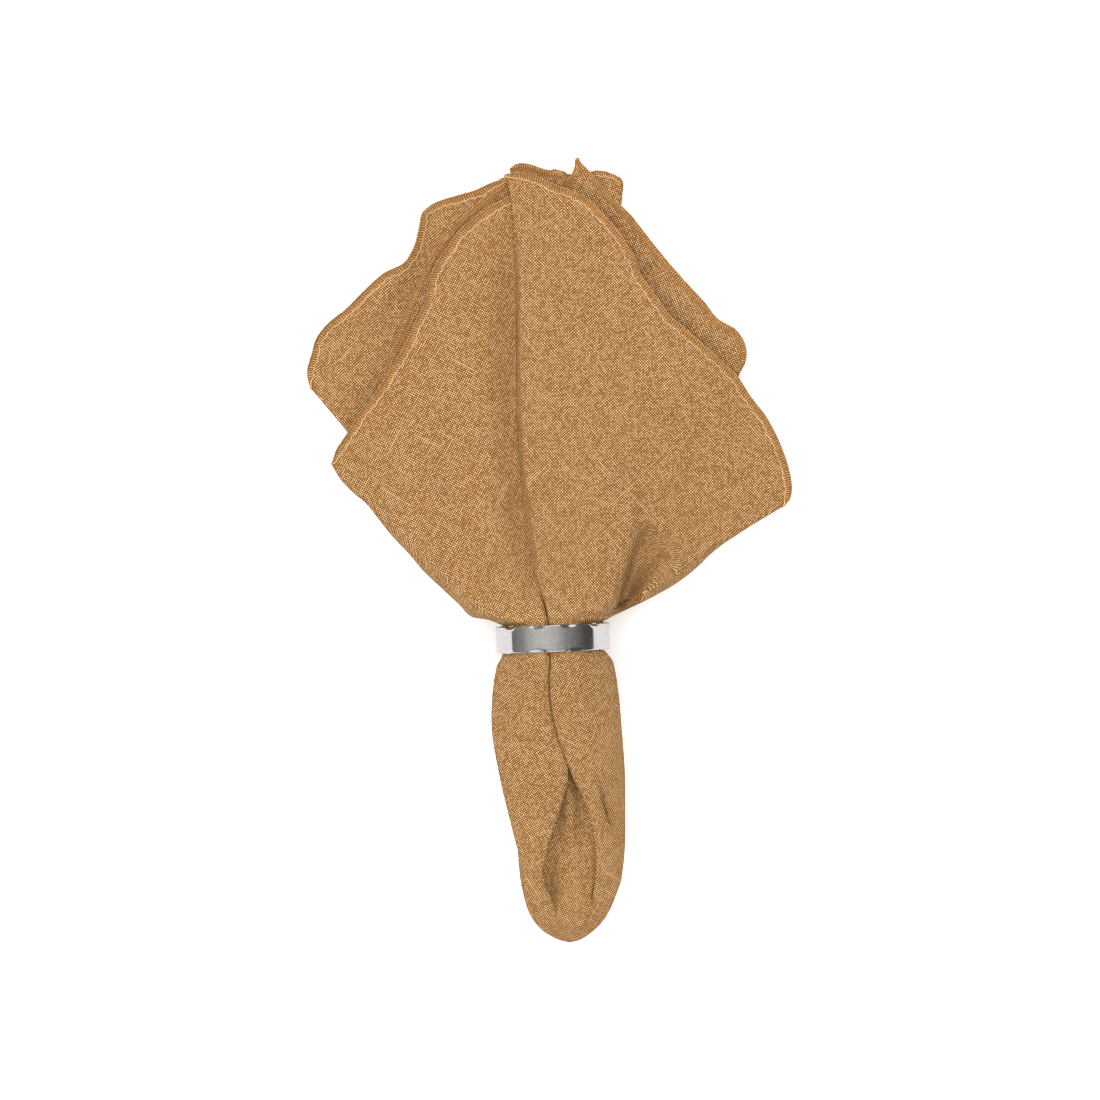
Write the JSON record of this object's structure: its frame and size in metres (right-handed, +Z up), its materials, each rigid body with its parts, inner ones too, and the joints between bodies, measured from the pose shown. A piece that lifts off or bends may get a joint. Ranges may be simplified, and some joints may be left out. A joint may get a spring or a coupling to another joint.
{
  "type": "cloth napkin in a ring",
  "caption": "Square linen napkin pinched at its centre, drawn through a polished metal ring and fanned out above it.",
  "frame": {"origin": "on the table, under the middle of the whole object", "axes": "+Y from the gathered tail to the open fan, +X to the right seen from above, +Z up from the table"},
  "size_m": [0.194, 0.3145, 0.0445],
  "materials": {
    "linen": "camel-coloured plain-woven linen, matt",
    "steel": "polished"
  },
  "bodies": {
    "root": {"napkin": "linen", "ring": "steel"}
  },
  "joints": []
}
